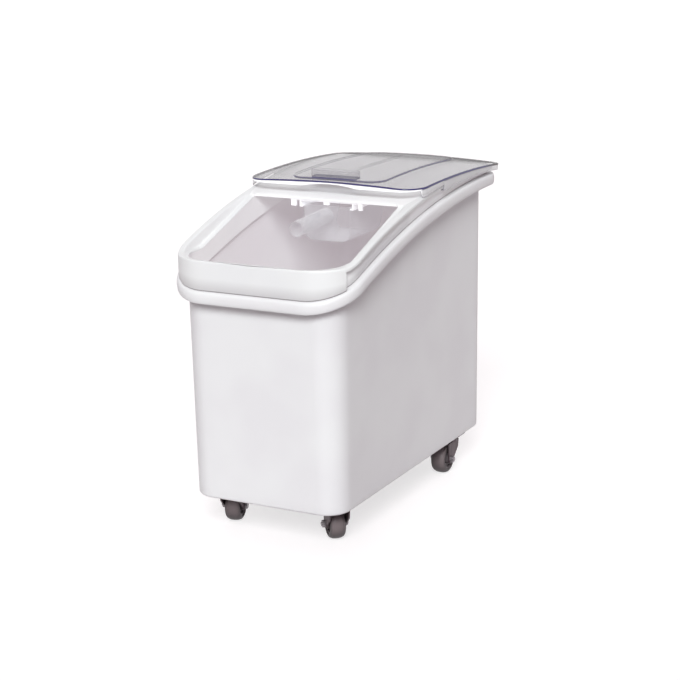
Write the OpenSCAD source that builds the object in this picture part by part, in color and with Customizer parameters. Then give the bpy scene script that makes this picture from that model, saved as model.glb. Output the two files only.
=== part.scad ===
// Mobile ingredient bin: a white tub on four swivel casters, a white lid frame with a
// sloping front opening, a clear cover that slides on a curved track, and a clear scoop
// that hangs from a rack inside the opening.
// Millimetres. X is the width, -Y the front, +Z up. The origin is on the floor, under
// the middle of the rim.

/* [Tub] */
// Width of the tub's underside
tub_w = 335; // [310:1:350]
// Length of the tub's underside
tub_l = 684; // [660:1:694]
// Wall thickness of the tub
tub_wall = 4; // [3:0.5:5]
// Thickness of the tub's floor
floor_t = 5; // [4:0.5:8]
// Radius of the tub's upright corners at the underside
tub_corner_r = 48; // [40:1:54]
// How far each wall leans out for every millimetre of height
lean = 0.01; // [0.01:0.001:0.012]
// Width of the bevel around the tub's bottom edge
foot_bevel = 4; // [3:1:12]
// Thickness of the pads inside the tub that take the caster screws
pad_t = 8; // [6:1:14]

/* [Rim] */
// Overall width of the rolled rim
rim_w = 399; // [395:1:410]
// Overall length of the rolled rim
rim_l = 744; // [738:1:756]
// Height of the rolled rim
rim_h = 23; // [18:1:27]
// Thickness of the rim's skin
rim_t = 4; // [3:0.5:5]
// Width of the bevels on the rim's outer edges
rim_bevel = 4; // [2:0.5:6]
// Height of the rim's underside at the back
rim_back_z = 618.5; // [605:0.5:630]
// How far behind the middle the rim's curve is highest
rim_crest_y = 330; // [310:1:345]
// Radius of the rim's front corners, seen from above
rim_front_r = 90; // [60:1:100]
// Radius of the rim's curve in side view
rim_curve_r = 1850; // [1780:10:2000]

/* [Lid frame] */
// How far the frame's side stands in from the rim's outside
frame_inset = 4.5; // [3:0.5:8]
// Height of the frame's track above the rim at its highest point
frame_h = 22.5; // [21:0.5:32]
// Radius of the track in side view
track_r = 1500; // [1450:10:1600]
// How far behind the middle the track is highest
track_crest_y = 210; // [200:1:225]
// Height of the board at the front, above the rim
board_h = 60.5; // [50:0.5:62]
// Thickness of the front board
board_t = 4.5; // [3.5:0.5:6]
// Distance from the frame's front to the start of the channel along each side
board_return = 45; // [30:1:60]
// Radius of the frame's back corners
frame_back_r = 52; // [45:1:56]
// Thickness of the frame's walls
frame_wall = 4; // [3:0.5:5]
// Height of the track's outer edge
track_edge = 8; // [6:0.5:9]
// Depth of the channel under the track's edge
channel_depth = 8.5; // [7:0.5:10]
// Width of the track's flat top
track_w = 18; // [16:0.5:20]
// Width of the front opening
opening_w = 328; // [310:1:329]
// Corner radius of the opening at the front
opening_front_r = 66; // [55:1:80]
// Corner radius of the opening at the back
opening_back_r = 8; // [5:1:15]
// Length of the closed deck behind the opening
deck_l = 427.5; // [415:0.5:440]
// Length of the level part of the ledge around the opening's front
ledge_level = 99.5; // [85:0.5:115]
// Thickness of the deck and the ledge
deck_t = 4.5; // [3.5:0.5:6]
// Thickness of the lip that drops inside the tub
lip_t = 2.4; // [2:0.1:4]
// Depth of that lip below the rim's top
lip_drop = 14; // [8:1:22]

/* [Cover] */
// Length of the sliding cover
cover_l = 416; // [405:1:425]
// Thickness of the cover's sheet
sheet_t = 2.5; // [2:0.1:3]
// Thickness of the cover's upright skirts
skirt_t = 3; // [2.5:0.1:4]
// Height of the cover's front edge above the track under it, at the middle
cover_rise = 31; // [29:0.5:36]
// Radius of the cover's dome
cover_curve_r = 2800; // [2700:50:3200]
// Height of the cover's front skirt
front_skirt_h = 11.5; // [10:0.5:12]
// Radius of the cover's front corners
cover_front_r = 50; // [40:1:60]
// Radius of the cover's back corners
cover_back_r = 20; // [14:1:30]
// Distance from the cover's front edge to the start of its hooked rails
hook_start = 125; // [100:5:160]
// Height of the hooked lip under the track's edge
hook_t = 3; // [2:0.5:4]
// Width of the raised panel
panel_w = 214; // [190:2:230]
// Distance of the raised panel from the cover's front and back edges
panel_margin = 20; // [16:1:26]
// Height of the raised panel above the sheet around it
panel_rise = 3; // [2.5:0.5:5]
// Corner radius of the raised panel
panel_r = 38; // [25:1:45]
// Width of the pull on the raised panel
pull_w = 102; // [80:2:130]
// Depth of the pull, front to back
pull_d = 24; // [18:1:34]
// Height of the pull above the panel
pull_h = 15; // [10:1:18]
// Width of the finger notch in the front skirt
notch_w = 100; // [70:2:130]
// Height of the finger notch
notch_h = 6.5; // [4:0.5:7]

/* [Scoop and rack] */
// Inside width of the scoop's bowl at its rim
bowl_w = 100; // [84:2:104]
// Depth of the scoop's bowl
bowl_h = 72; // [55:1:80]
// Length of the scoop's bowl
bowl_l = 165; // [140:5:180]
// Wall thickness of the scoop
bowl_t = 2.2; // [1.8:0.1:3]
// Radius of the bowl's lower edges
bowl_r = 20; // [14:1:28]
// Width of the lips that carry the scoop in its rack
lip_w = 6; // [5:0.5:8]
// Outside diameter of the scoop's tubular handle
grip_d = 32; // [26:1:34]
// Length of the scoop's handle
grip_l = 125; // [100:5:140]
// Slope of the scoop's handle in degrees
grip_slope = 2.5; // [0:0.5:10]
// Thickness of the rack's plate and rails
rack_t = 2.5; // [2:0.1:3]
// Length of the rack's rails
rack_l = 140; // [110:5:160]
// Drop from the rack's plate at its front to the scoop's rim
rack_drop = 8; // [7:0.5:14]

/* [Casters] */
// Distance between the front casters' pivots
caster_front_w = 242; // [230:2:262]
// Distance between the back casters' pivots
caster_back_w = 264; // [230:2:266]
// Distance of the front pivots in front of the middle
caster_front = 261; // [240:1:290]
// Distance of the back pivots behind the middle
caster_back = 224; // [200:2:280]
// Wheel diameter
wheel_d = 63; // [58:1:70]
// Wheel width over the tyre
tyre_w = 32; // [26:1:34]
// Thickness of the tyre's rubber
tyre_t = 10; // [7:0.5:13]
// Rounding of the tyre's shoulders
tyre_round = 7; // [4:0.5:9]
// Distance from the pivot to the wheel's axle
trail = 22; // [20:0.5:28]
// Side length of the square top plate
plate_w = 60; // [56:1:68]
// Thickness of the top plate
plate_t = 3; // [2.5:0.5:4]
// Thickness of the fork's metal
fork_t = 2.8; // [2.2:0.2:3.6]
// Diameter of the axle bolt
axle_d = 8; // [6:0.5:10]
// Diameter of the pivot rivet
rivet_d = 10; // [8:0.5:12]
// Diameter of the race's balls
ball_d = 4.6; // [4:0.2:5.4]
// Diameter of the circle the balls run on
race_d = 36; // [33:1:38]
// Diameter of the plate screws
screw_d = 6; // [5:0.5:7]

/* [Clearances] */
// Sliding gap between the cover and its track
slide_gap = 0.4; // [0.3:0.05:0.6]
// Radial gap of a turning fit
turn_gap = 0.05; // [0.02:0.01:0.1]
// Gap between the fixed pieces that fit together
seat_gap = 0.1; // [0.05:0.05:0.2]
// Gap beside a part that turns or slides freely
free_gap = 0.4; // [0.3:0.05:0.8]

/* [Hidden] */
$fn = 96;
curve_fn = 720;
reach = 1200;
cut = 1;

CASTERS = ["front_left", "front_right", "back_left", "back_right"];
CASTER_PIECES = [
    "plate", "rivet", "balls", "fork", "sleeve", "hub", "tyre", "axle_bolt", "axle_nut"
];

// Casters, from the floor up
wheel_r = wheel_d / 2;
bridge_z = wheel_d + 2;
race_h = 3;
race_gap = ball_d - 1.3;
race_r = (race_d + ball_d) / 2 + 2;
race_z = bridge_z + fork_t + race_h + race_gap / 2;
rivet_head_h = 3;
rivet_head_z = bridge_z - rivet_head_h - seat_gap;
floor_gap = bridge_z + fork_t + 2 * race_h + race_gap + plate_t;
hub_w = tyre_w + 2;
leg_in = hub_w / 2 + free_gap + 0.4;
leg_out = leg_in + fork_t;
sleeve_r = axle_d / 2 + 2;
hub_r = wheel_r - tyre_t;
nut_r = axle_d * 0.95;
nut_h = axle_d * 0.75;
bolt_head_h = axle_d * 0.6;
// Side view of a fork leg: its back and front edges narrow towards the eye for the axle
axle_eye_r = axle_d / 2 + 6;
leg_front = trail + axle_eye_r;
leg_outline = [
    [-18, bridge_z + fork_t], [-15, bridge_z - 14],
    [trail - axle_eye_r + 1, wheel_r - 6], [trail + axle_eye_r - 1, wheel_r - 4],
    [leg_front, wheel_r + 12], [leg_front, bridge_z + fork_t]
];
boss_r = sleeve_r + 5;
hub_rim = 3;
hub_recess = 6;
screw_head_h = 3;
screw_head_r = screw_d * 0.85;
screw_span = plate_w - 16;
screw_grip = pad_t + floor_t - 4;
caster_yaw = [104, 133, -68, -90];
caster_at = [
    [-caster_front_w / 2, -caster_front], [caster_front_w / 2, -caster_front],
    [-caster_back_w / 2, caster_back], [caster_back_w / 2, caster_back]
];

// Rim and track: each is an arc of a circle whose axis runs along X, far below the bin
rim_axis_z = rim_back_z - rim_curve_r;
rim_top_r = rim_curve_r + rim_h;
frame_w = rim_w - 2 * frame_inset;
frame_l = rim_l - 2 * frame_inset;
track_crest_z = rim_back_z + rim_h + frame_h;
track_axis_z = track_crest_z - track_r;
tub_top_z = track_crest_z;

// Height of a circle of radius r about an X axis at (axis_y, axis_z), above the point y
function arc_z(y, r, axis_y, axis_z) = axis_z + sqrt(r * r - (y - axis_y) * (y - axis_y));
function rim_z(y) = arc_z(y, rim_top_r, rim_crest_y, rim_axis_z);
function track_z(y) = arc_z(y, track_r, track_crest_y, track_axis_z);

board_z = rim_z(-frame_l / 2) + board_h;
channel_y = board_return - frame_l / 2;
strip_t = 3;
opening_front_y = board_t - frame_l / 2;
opening_back_y = frame_l / 2 - deck_l;
lip_l = tub_l + 2 * lean * (rim_z(-rim_l / 2) - lip_drop - floor_gap) - 2 * (tub_wall + lip_t + 0.6);
ledge_knee_y = ledge_level - frame_l / 2;
ledge_back_z = track_z(opening_back_y) - 1.4;
ledge_slope = atan2(ledge_back_z - board_z, opening_back_y - ledge_knee_y);

// Cover: its back corners rest on the track and its front edge stands clear of it
cover_w = frame_w + 2 * (slide_gap + skirt_t);
cover_back_y = frame_l / 2 + 0.5;
cover_front_y = cover_back_y - cover_l;
cover_front_z = track_z(cover_front_y) + cover_rise;
cover_crown = cover_curve_r - sqrt(cover_curve_r * cover_curve_r - cover_w * cover_w / 4);
cover_back_z = track_z(cover_back_y) + sheet_t + slide_gap + cover_crown;
cover_chord = norm([cover_l, cover_back_z - cover_front_z]);
cover_sag = sqrt(cover_curve_r * cover_curve_r - cover_chord * cover_chord / 4);
cover_axis_y = (cover_front_y + cover_back_y) / 2
    + cover_sag * (cover_back_z - cover_front_z) / cover_chord;
cover_axis_z = (cover_front_z + cover_back_z) / 2 - cover_sag * cover_l / cover_chord;
hook_y = cover_front_y + hook_start;
panel_front_y = cover_front_y + panel_margin;
panel_back_y = cover_back_y - panel_margin;
panel_front_z = arc_z(panel_front_y, cover_curve_r, cover_axis_y, cover_axis_z) + panel_rise;
pull_r = 4;
pull_sink = 11;
front_skirt_l = 28;
hook_reach = 5;

// Scoop and rack
rack_front_y = opening_back_y + 2;
rack_front_z = track_z(rack_front_y) - deck_t - rack_t - seat_gap;
bowl_rim_z = rack_front_z - rack_drop;
bowl_back_y = rack_front_y + 1;
grip_z = bowl_rim_z - grip_d / 2 - 2.5;
rail_in = bowl_w / 2 + bowl_t + lip_w + free_gap;
rack_screw_y = [rack_front_y + 22, rack_front_y + rack_l - 22];
rack_screw_x = 30;
rack_screw_r = 2;
rack_screw_seat = 0.7;
rack_bar_w = 2 * rail_in + 44;
rack_bar_d = 14;
// Prongs along the rack's front edge: left side, width and length of each
prongs = [[-rack_bar_w / 2, 11, 12], [-6, 12, 6], [rack_bar_w / 2 - 8, 8, 12]];
prong_d = 5;
mouth_slope = 28;
rack_ledge_z = bowl_rim_z - bowl_t - seat_gap - rack_t;

// ---- Shared shapes ----

// Rounded rectangle of size w along X, from y0 to y1, with radius rf at the front
// corners and rb at the back ones
module plan(w, y0, y1, rf, rb) {
    for (s = [-1, 1]) {
        translate([s * (w / 2 - rf), y0 + rf]) circle(rf);
        translate([s * (w / 2 - rb), y1 - rb]) circle(rb);
    }
    translate([-w / 2, y0 + rf]) square([w, y1 - rb - y0 - rf]);
    translate([rf - w / 2, y0]) square([w - 2 * rf, rf + cut]);
    translate([rb - w / 2, y1 - rb - cut]) square([w - 2 * rb, rb + cut]);
}

module prism(w, y0, y1, rf, rb, z0 = 0, z1 = reach) {
    translate([0, 0, z0]) linear_extrude(z1 - z0) plan(w, y0, y1, rf, rb);
}

// Everything under a circle about an X axis
module under_arc(r, axis_y, axis_z) {
    translate([0, axis_y, axis_z]) rotate([0, 90, 0])
        cylinder(r = r, h = reach, center = true, $fn = curve_fn);
}

module under_track(h = 0) {
    under_arc(track_r + h, track_crest_y, track_axis_z);
}

module under_rim(h = 0) {
    under_arc(rim_top_r + h, rim_crest_y, rim_axis_z);
}

// Everything under the cover's domed top
module under_cover(h = 0) {
    translate([0, cover_axis_y, cover_axis_z]) sphere(cover_curve_r + h, $fn = curve_fn);
}

// Half of space in front of the plane y = y1, or a slab between two planes
module slab_y(y0, y1, z0 = 0, z1 = reach) {
    translate([-reach / 2, y0, z0]) cube([reach, y1 - y0, z1 - z0]);
}

// Round-cornered box whose walls lean out by k for each millimetre of height
module leaning_box(w, l, r, k, z0, z1) {
    h = z1 - z0;
    translate([0, 0, z0]) {
        for (x = [-1, 1]) for (y = [-1, 1])
            translate([x * (w / 2 - r), y * (l / 2 - r), 0])
                cylinder(r1 = r, r2 = r + k * h, h = h);
        rotate([90, 0, 0]) linear_extrude(l - 2 * r, center = true)
            polygon([[-w / 2, 0], [w / 2, 0], [w / 2 + k * h, h], [-w / 2 - k * h, h]]);
        rotate([90, 0, 90]) linear_extrude(w - 2 * r, center = true)
            polygon([[-l / 2, 0], [l / 2, 0], [l / 2 + k * h, h], [-l / 2 - k * h, h]]);
    }
}

// ---- Tub ----

module tub_outside(inset, z0, z1) {
    k0 = lean * (z0 - floor_gap) - inset;
    leaning_box(tub_w + 2 * k0, tub_l + 2 * k0, tub_corner_r + k0, lean, z0, z1);
}

// Bevelled foot, whose top is the start of the walls
module tub_foot() {
    k0 = (lean - 1) * foot_bevel;
    leaning_box(tub_w + 2 * k0, tub_l + 2 * k0, tub_corner_r + k0, 1,
        floor_gap, floor_gap + foot_bevel);
}

module rim_ring(inset, top) {
    intersection() {
        prism(rim_w - 2 * inset, inset - rim_l / 2, rim_l / 2 - inset,
            rim_front_r - inset, frame_back_r + frame_inset - inset);
        under_rim(-top);
    }
}

module tub() {
    color("white") difference() {
        union() {
            intersection() {
                tub_outside(0, floor_gap + foot_bevel, tub_top_z);
                under_rim();
            }
            tub_foot();
            difference() {
                union() {
                    rim_ring(rim_bevel, 0);
                    rim_ring(0, rim_bevel);
                }
                under_rim(-rim_h);
                intersection() {
                    rim_ring(rim_t, rim_t);
                    rim_ring(rim_bevel + rim_t / 2, 0);
                }
            }
        }
        difference() {
            tub_outside(tub_wall, floor_gap + floor_t, tub_top_z + cut);
            for (c = caster_at)
                translate([c[0] - plate_w / 2, c[1] - plate_w / 2, 0])
                    cube([plate_w, plate_w, floor_gap + floor_t + pad_t]);
        }
        for (c = caster_at)
            at_screws(c) translate([0, 0, floor_gap - cut])
                cylinder(d = screw_d + 2 * seat_gap, h = screw_grip + cut + 1);
    }
}

// ---- Lid frame ----

module frame_plan(inset, z0 = 0, z1 = reach) {
    prism(frame_w - 2 * inset, inset - frame_l / 2, frame_l / 2 - inset,
        rim_front_r - frame_inset - inset, frame_back_r - inset, z0, z1);
}

// Everything under the level board top and the sloping ledge behind it
module under_ledge(drop) {
    far = 400;
    y1 = ledge_knee_y + far * cos(ledge_slope);
    z1 = board_z + far * sin(ledge_slope);
    rotate([90, 0, 90]) linear_extrude(reach, center = true) polygon([
        [-frame_l, 0], [-frame_l, board_z - drop], [ledge_knee_y, board_z - drop],
        [y1, z1 - drop], [y1, 0]
    ]);
}

module opening_plan(z0, z1) {
    prism(opening_w, opening_front_y, opening_back_y, opening_front_r, opening_back_r, z0, z1);
}

// The lip that drops inside the tub, set out by w from its inner face
module lip_plan(w) {
    r = tub_corner_r - tub_wall - 1 + w;
    prism(opening_w + 2 * w, -lip_l / 2 - w, lip_l / 2 + w, r, r);
}

module frame_hollow() {
    channel_wall = channel_depth + frame_wall;
    intersection() {
        union() {
            difference() {
                frame_plan(channel_wall);
                slab_y(-reach, channel_y + frame_wall);
            }
            intersection() {
                frame_plan(board_t);
                slab_y(-reach, channel_y);
            }
            intersection() {
                frame_plan(channel_wall);
                slab_y(channel_y - cut, channel_y + frame_wall + cut);
            }
        }
        under_track(-track_edge);
        union() {
            under_ledge(deck_t);
            slab_y(opening_back_y - cut, reach);
        }
    }
}

module lid_frame() {
    color("snow") difference() {
        union() {
            difference() {
                intersection() {
                    frame_plan(0);
                    union() {
                        under_track();
                        slab_y(-reach, ledge_knee_y, 0, board_z);
                    }
                }
                // Seat on the rim
                under_rim(seat_gap);
                // Channel under the track's edge, on both sides and the back
                difference() {
                    intersection() {
                        frame_plan(-cut);
                        slab_y(channel_y, reach);
                        under_track(-track_edge);
                    }
                    frame_plan(channel_depth);
                }
                frame_hollow();
                // Sloping ledge, sunk below the track
                difference() {
                    intersection() {
                        frame_plan(track_w);
                        slab_y(-reach, opening_back_y);
                    }
                    under_ledge(0);
                }
            }
            // Floor strip from the front board back over the rim, and the inner walls
            intersection() {
                union() {
                    intersection() {
                        frame_plan(board_t / 2);
                        slab_y(-reach, channel_y);
                        under_rim(strip_t);
                    }
                    intersection() {
                        frame_plan(channel_depth + frame_wall / 2);
                        slab_y(-reach, opening_front_y + opening_front_r);
                        under_rim(strip_t);
                    }
                    lip_plan(lip_t);
                }
                under_track(-deck_t / 2);
                union() {
                    under_ledge(deck_t / 2);
                    slab_y(opening_back_y, reach);
                }
                difference() {
                    frame_plan(board_t / 2);
                    difference() {
                        under_rim(seat_gap);
                        lip_plan(lip_t);
                    }
                    under_rim(-lip_drop);
                }
            }
        }
        // Opening, down to the floor strip at the front
        difference() {
            opening_plan(0, reach);
            under_rim(strip_t);
        }
        intersection() {
            lip_plan(0);
            union() {
                under_rim(strip_t + cut);
                slab_y(opening_back_y - cut, reach);
            }
            under_track(-deck_t);
        }
        for (x = [-1, 1]) for (y = rack_screw_y)
            translate([x * rack_screw_x, y, track_z(y) - deck_t - cut])
                cylinder(r = rack_screw_r + seat_gap, h = deck_t - 1 + cut, $fn = 32);
    }
}

// ---- Sliding cover ----

module cover_plan(inset, z0 = 0, z1 = reach) {
    prism(cover_w - 2 * inset, cover_front_y + inset, cover_back_y - inset,
        cover_front_r - inset, cover_back_r - inset, z0, z1);
}

module panel_plan(inset) {
    prism(panel_w - 2 * inset, panel_front_y + inset, panel_back_y - inset,
        panel_r - inset, panel_r - inset);
}

// Solid under the cover's whole top, set in by t all over
module cover_top(t) {
    intersection() {
        cover_plan(t > 0 ? skirt_t : 0);
        under_cover(-t);
    }
    intersection() {
        panel_plan(t);
        under_cover(panel_rise - t);
    }
    prism(pull_w - 2 * t, panel_front_y + cut + t, panel_front_y + pull_d - t,
        pull_r - t / 2, pull_r - t / 2, panel_front_z - pull_sink, panel_front_z + pull_h - t);
}

module cover() {
    notch_z = cover_front_z - front_skirt_h;
    color("lightsteelblue", 0.45) {
        difference() {
            cover_top(0);
            cover_top(sheet_t);
            // Underside of the skirts: level at the front, following the track behind it
            difference() {
                under_arc(cover_curve_r - front_skirt_h, cover_axis_y, cover_axis_z);
                slab_y(cover_front_y + front_skirt_l, reach);
            }
            intersection() {
                under_track(1);
                slab_y(cover_front_y + front_skirt_l - cut, hook_y);
            }
            intersection() {
                under_track(slide_gap);
                cover_plan(skirt_t);
            }
            under_track(-track_edge - slide_gap - hook_t);
            // No skirt across the back, so that the back edge passes over the deck
            intersection() {
                under_track(slide_gap);
                slab_y(cover_back_y - cover_back_r, reach);
            }
            translate([0, cover_front_y, notch_z])
                scale([notch_w / 2 / notch_h, 1, 1]) rotate([90, 0, 0])
                    cylinder(r = notch_h, h = 4 * skirt_t, center = true);
        }
        // Lips that hook under the track's edge
        for (s = [-1, 1]) intersection() {
            difference() {
                under_track(-track_edge - slide_gap);
                under_track(-track_edge - slide_gap - hook_t);
            }
            translate([s > 0 ? cover_w / 2 - skirt_t - hook_reach : -cover_w / 2, hook_y, 0])
                cube([skirt_t + hook_reach, cover_back_y - cover_back_r - hook_y, reach]);
        }
    }
}

// ---- Scoop and its rack ----

module rack() {
    color("white") difference() {
        union() {
            // Plate that follows the underside of the deck
            intersection() {
                difference() {
                    under_track(-deck_t - seat_gap);
                    under_track(-deck_t - seat_gap - rack_t);
                }
                union() {
                    translate([-rail_in - rack_t, rack_front_y, 0])
                        cube([2 * (rail_in + rack_t), rack_l, reach]);
                    translate([-rack_bar_w / 2, rack_front_y, 0])
                        cube([rack_bar_w, rack_bar_d, reach]);
                }
            }
            // Two rails and the ledges that carry the scoop's lips
            for (s = [-1, 1]) intersection() {
                under_track(-deck_t - seat_gap - rack_t / 2);
                union() {
                    translate([s * (rail_in + rack_t / 2) - rack_t / 2, rack_front_y, rack_ledge_z])
                        cube([rack_t, rack_l, reach]);
                    translate([s > 0 ? rail_in - lip_w + 1 : -rail_in - 1, rack_front_y, rack_ledge_z])
                        cube([lip_w, rack_l, rack_t]);
                }
            }
            // Prongs along the front edge
            for (p = prongs) intersection() {
                under_track(-deck_t - seat_gap - rack_t / 2);
                translate([p[0], rack_front_y, rack_front_z - p[2]])
                    cube([p[1], prong_d, reach]);
            }
        }
        for (x = [-1, 1]) for (y = rack_screw_y)
            translate([x * rack_screw_x, y, 0]) cylinder(r = rack_screw_r + seat_gap, h = reach, $fn = 32);
    }
}

module rack_screws() {
    color("silver") for (x = [-1, 1]) for (y = rack_screw_y)
        translate([x * rack_screw_x, y, track_z(y) - deck_t - seat_gap - rack_t - rack_screw_seat]) {
            cylinder(r = rack_screw_r, h = rack_t + deck_t - 1, $fn = 32);
            translate([0, 0, -1.6]) cylinder(r = 2 * rack_screw_r, h = 1.6, $fn = 32);
        }
}

// Round-bottomed trough along Y, set in by t from the outside of the bowl
module trough(t, y0, y1, top) {
    w = bowl_w / 2 + bowl_t - t;
    r = bowl_r - t;
    low = bowl_rim_z - bowl_h + t;
    for (s = [-1, 1]) translate([s * (w - r), y0, low + r]) rotate([-90, 0, 0])
        cylinder(r = r, h = y1 - y0);
    translate([-w, y0, low + r]) cube([2 * w, y1 - y0, top - low - r]);
    translate([r - w, y0, low]) cube([2 * (w - r), y1 - y0, r]);
}

module scoop() {
    grip_r = grip_d / 2;
    mouth_y = bowl_back_y + bowl_l;
    color("lightsteelblue", 0.45) difference() {
        union() {
            trough(0, bowl_back_y, mouth_y, bowl_rim_z);
            translate([-bowl_w / 2 - bowl_t - lip_w, bowl_back_y, bowl_rim_z - bowl_t])
                cube([bowl_w + 2 * (bowl_t + lip_w), rack_l, bowl_t]);
            translate([0, bowl_back_y + 1, grip_z]) rotate([90 + grip_slope, 0, 0])
                cylinder(r = grip_r, h = grip_l);
        }
        trough(bowl_t, bowl_back_y + bowl_t, mouth_y + cut, bowl_rim_z + cut);
        // Slanting mouth
        translate([0, mouth_y, bowl_rim_z]) rotate([-mouth_slope, 0, 0])
            translate([-bowl_w, 0, -2 * bowl_h]) cube([2 * bowl_w, 2 * bowl_h, 4 * bowl_h]);
        difference() {
            translate([0, bowl_back_y + 1, grip_z]) rotate([90 + grip_slope, 0, 0])
                cylinder(r = grip_r - bowl_t, h = grip_l + cut);
            slab_y(bowl_back_y, reach);
        }
    }
}

// ---- Casters ----

module at_screws(c) {
    for (x = [-0.5, 0.5]) for (y = [-0.5, 0.5])
        translate([c[0] + x * screw_span, c[1] + y * screw_span, 0]) children();
}

// Moves a piece from the caster's own frame, with its pivot on Z and its wheel along +X
module at_caster(i) {
    translate(caster_at[i]) rotate(caster_yaw[i]) children();
}

module on_axle() {
    translate([trail, 0, wheel_r]) rotate([90, 0, 0]) children();
}

module ball_groove(z) {
    translate([0, 0, z]) rotate_extrude() translate([race_d / 2, 0])
        circle(ball_d / 2 + turn_gap, $fn = 48);
}

module caster_plate(i) {
    z = floor_gap - plate_t;
    color("dimgray") difference() {
        union() {
            translate([caster_at[i][0] - plate_w / 2, caster_at[i][1] - plate_w / 2, z])
                cube([plate_w, plate_w, plate_t]);
            translate(caster_at[i]) translate([0, 0, z - race_h])
                cylinder(r = race_r, h = race_h + plate_t / 2);
        }
        translate(caster_at[i]) {
            cylinder(d = rivet_d + 2 * turn_gap, h = reach);
            ball_groove(race_z);
        }
        at_screws(caster_at[i]) cylinder(d = screw_d + 2 * seat_gap, h = reach, $fn = 48);
    }
}

module caster_rivet(i) {
    color("silver") translate(caster_at[i]) translate([0, 0, rivet_head_z]) {
        cylinder(d = rivet_d + 8, h = rivet_head_h);
        cylinder(d = rivet_d, h = floor_gap - rivet_head_z);
    }
}

module caster_balls(i) {
    n = floor(180 / asin((ball_d + 0.6) / race_d));
    color("silver") translate(caster_at[i])
        for (k = [0:n - 1]) rotate(k * 360 / n) translate([race_d / 2, 0, race_z])
            sphere(d = ball_d, $fn = 32);
}

module caster_fork(i) {
    color("dimgray") at_caster(i) difference() {
        union() {
            translate([0, 0, bridge_z]) cylinder(r = race_r, h = fork_t + race_h);
            translate([0, -leg_out, bridge_z]) cube([leg_front, 2 * leg_out, fork_t]);
            for (s = [-1, 1]) translate([0, s * (leg_in + fork_t / 2), 0]) rotate([90, 0, 0])
                linear_extrude(fork_t, center = true) {
                    polygon(leg_outline);
                    translate([trail, wheel_r]) circle(axle_eye_r);
                }
        }
        translate([0, 0, bridge_z - cut]) cylinder(d = rivet_d + 2 * turn_gap, h = reach);
        ball_groove(race_z);
        on_axle() cylinder(d = axle_d + 2 * turn_gap, h = 4 * leg_out, center = true);
    }
}

module caster_sleeve(i) {
    color("silver") at_caster(i) on_axle() difference() {
        cylinder(r = sleeve_r, h = 2 * leg_in - 2 * seat_gap, center = true);
        cylinder(d = axle_d + 2 * turn_gap, h = reach, center = true);
    }
}

module caster_hub(i) {
    color("gray") at_caster(i) on_axle() difference() {
        union() {
            cylinder(r = hub_r, h = tyre_w - 4, center = true);
            cylinder(r = boss_r, h = hub_w, center = true);
        }
        for (s = [-1, 1]) translate([0, 0, s * tyre_w / 2]) difference() {
            cylinder(r = hub_r - hub_rim, h = 2 * hub_recess, center = true);
            cylinder(r = boss_r, h = 2 * hub_recess + cut, center = true);
        }
        cylinder(r = sleeve_r + turn_gap, h = reach, center = true);
    }
}

module caster_tyre(i) {
    r0 = hub_r + turn_gap;
    h = tyre_w / 2;
    color("dimgray") at_caster(i) on_axle() rotate_extrude() {
        difference() {
            translate([r0, -h]) square([wheel_r - r0, tyre_w]);
            for (s = [-1, 1]) translate([wheel_r, s * h]) difference() {
                translate([-tyre_round, -tyre_round]) square(2 * tyre_round);
                translate([-tyre_round, -s * tyre_round]) circle(tyre_round, $fn = 64);
                translate([-2 * tyre_round, -s * tyre_round - tyre_round])
                    square([tyre_round, 2 * tyre_round]);
                translate([-tyre_round - cut, s > 0 ? -3 * tyre_round : tyre_round])
                    square([tyre_round + 2 * cut, 2 * tyre_round]);
            }
        }
    }
}

module caster_axle_bolt(i) {
    color("silver") at_caster(i) on_axle() {
        translate([0, 0, -leg_out - nut_h - 2]) cylinder(d = axle_d, h = 2 * leg_out + nut_h + 3);
        translate([0, 0, leg_out + seat_gap]) cylinder(r = nut_r, h = bolt_head_h, $fn = 6);
    }
}

module caster_axle_nut(i) {
    color("silver") at_caster(i) on_axle() translate([0, 0, -leg_out - seat_gap - nut_h])
        difference() {
            cylinder(r = nut_r, h = nut_h, $fn = 6);
            translate([0, 0, -cut]) cylinder(d = axle_d + 2 * turn_gap, h = reach);
        }
}

module plate_screws() {
    color("silver") for (c = caster_at)
        at_screws(c) translate([0, 0, floor_gap - plate_t - screw_head_h]) {
            cylinder(r = screw_head_r, h = screw_head_h, $fn = 6);
            cylinder(d = screw_d, h = screw_head_h + plate_t + screw_grip, $fn = 48);
        }
}

module caster_piece(i, piece) {
    if (piece == "plate") caster_plate(i);
    if (piece == "rivet") caster_rivet(i);
    if (piece == "balls") caster_balls(i);
    if (piece == "fork") caster_fork(i);
    if (piece == "sleeve") caster_sleeve(i);
    if (piece == "hub") caster_hub(i);
    if (piece == "tyre") caster_tyre(i);
    if (piece == "axle_bolt") caster_axle_bolt(i);
    if (piece == "axle_nut") caster_axle_nut(i);
}

tub();
lid_frame();
cover();
rack();  // scoop_rack
rack_screws();
scoop();
plate_screws();
for (i = [0:3]) for (piece = CASTER_PIECES)
    caster_piece(i, piece);
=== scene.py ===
import math

import bpy
import numpy as np
from mathutils import Matrix, Vector


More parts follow.
